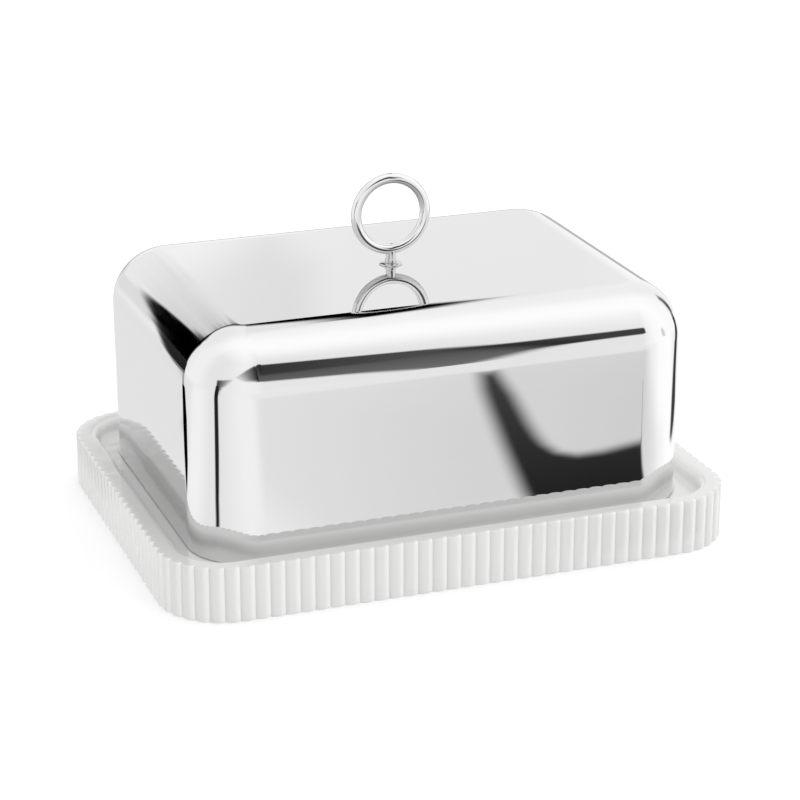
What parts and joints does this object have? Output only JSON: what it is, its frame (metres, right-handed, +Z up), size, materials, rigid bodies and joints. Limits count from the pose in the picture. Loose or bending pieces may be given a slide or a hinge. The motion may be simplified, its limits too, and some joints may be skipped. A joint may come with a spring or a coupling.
{
  "type": "butter dish",
  "caption": "Reeded rounded-rectangle dish with a shallow well, under a deep polished steel lid that lifts off by an upright ring on a short stem.",
  "frame": {"origin": "centre of the dish's foot, on the table", "axes": "+X along the dish's longer side, +Y from front to back, +Z up through the ring"},
  "size_m": [0.18, 0.1376, 0.1088],
  "materials": {
    "white_glaze": "gloss",
    "polished_steel": "polished",
    "plain_steel": "satin",
    "seal_silicone": "satin"
  },
  "bodies": {
    "dish": {"base_dish": "white_glaze"},
    "lid": {"lid_shell": "polished_steel", "handle_ring": "polished_steel", "handle_stem": "polished_steel", "handle_rosette": "polished_steel", "seal_washer": "seal_silicone", "steel_washer": "plain_steel", "cap_nut": "plain_steel"}
  },
  "joints": [
    {"name": "lid_lift", "type": "slide", "parent": "dish", "child": "lid", "axis": [0, 0, 1], "range_m": [0, 0.1]}
  ]
}
